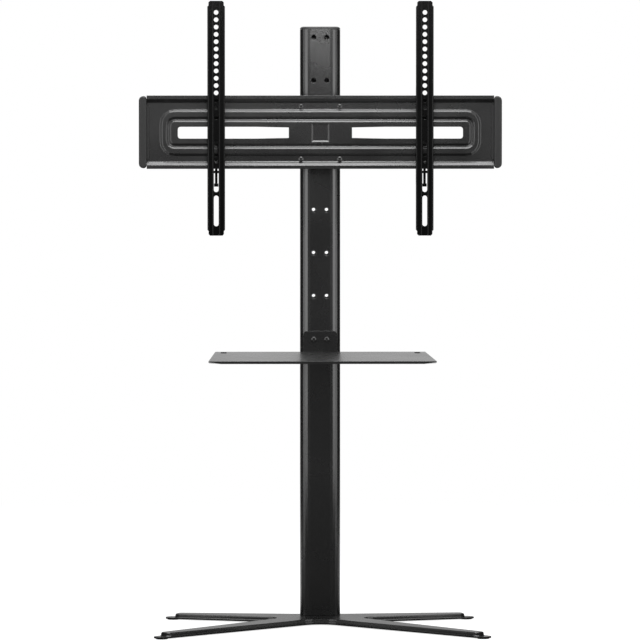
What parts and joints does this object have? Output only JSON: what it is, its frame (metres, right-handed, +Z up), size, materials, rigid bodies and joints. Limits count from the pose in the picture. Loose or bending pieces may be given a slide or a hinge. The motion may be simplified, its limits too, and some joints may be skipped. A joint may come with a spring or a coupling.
{
  "type": "tv stand with mount",
  "caption": "Floor stand for a flat screen: pressed spider base, flat-oval column, equipment shelf, and a ribbed mounting plate with hooked sliding brackets.",
  "frame": {"origin": "on the floor, under the middle of the stand's whole width and depth", "axes": "+X to the viewer's right, +Y away from the viewer, +Z up; the screen side faces -Y"},
  "size_m": [0.697, 0.426, 1.1976],
  "materials": {
    "frame_paint": "satin black powder coat",
    "bracket_paint": "matte black powder coat",
    "plastic": "fine-grained black moulding",
    "rubber": "matte",
    "fastener": "black zinc plate"
  },
  "bodies": {
    "stand": {"base_plate": "frame_paint", "foot_pad_front_left": "rubber", "foot_pad_front_right": "rubber", "foot_pad_rear_left": "rubber", "foot_pad_rear_right": "rubber", "lower_column": "frame_paint", "upper_column": "frame_paint", "column_joiner": "fastener", "column_foot": "fastener", "column_cap": "plastic", "base_screw_1": "fastener", "base_screw_2": "fastener", "base_screw_3": "fastener", "base_screw_4": "fastener", "joiner_screw_1": "fastener", "joiner_screw_2": "fastener", "joiner_screw_3": "fastener", "joiner_screw_4": "fastener", "shelf_bracket": "frame_paint", "shelf_tray": "frame_paint", "tray_screw_1": "fastener", "tray_screw_2": "fastener", "tray_screw_3": "fastener", "tray_screw_4": "fastener", "shelf_bolt_1": "fastener", "shelf_bolt_2": "fastener", "shelf_bolt_sleeve_1": "fastener", "shelf_bolt_sleeve_2": "fastener", "shelf_bolt_nut_1": "fastener", "shelf_bolt_nut_2": "fastener", "mount_adapter": "frame_paint", "mount_bolt_1": "fastener", "mount_bolt_2": "fastener", "mount_bolt_sleeve_1": "fastener", "mount_bolt_sleeve_2": "fastener", "mount_bolt_nut_1": "fastener", "mount_bolt_nut_2": "fastener", "mount_plate": "frame_paint", "plate_screw_1": "fastener", "plate_screw_2": "fastener", "plate_screw_3": "fastener", "plate_screw_4": "fastener", "plate_end_cap_left": "plastic", "plate_end_cap_right": "plastic"},
    "bracket_left_body": {"bracket_left": "bracket_paint", "lock_tab_left": "bracket_paint"},
    "bracket_right_body": {"bracket_right": "bracket_paint", "lock_tab_right": "bracket_paint"},
    "lock_screw_left_body": {"lock_screw_left": "fastener"},
    "lock_screw_right_body": {"lock_screw_right": "fastener"}
  },
  "joints": [
    {"name": "bracket_left_slide", "type": "slide", "parent": "stand", "child": "bracket_left_body", "axis": [1, 0, 0], "range_m": [-0.1, 0.1]},
    {"name": "bracket_right_slide", "type": "slide", "parent": "stand", "child": "bracket_right_body", "axis": [1, 0, 0], "range_m": [-0.1, 0.1]},
    {"name": "lock_screw_left_travel", "type": "slide", "parent": "bracket_left_body", "child": "lock_screw_left_body", "axis": [0, 0, 1], "range_m": [-0.012, 0]},
    {"name": "lock_screw_right_travel", "type": "slide", "parent": "bracket_right_body", "child": "lock_screw_right_body", "axis": [0, 0, 1], "range_m": [-0.012, 0]}
  ]
}
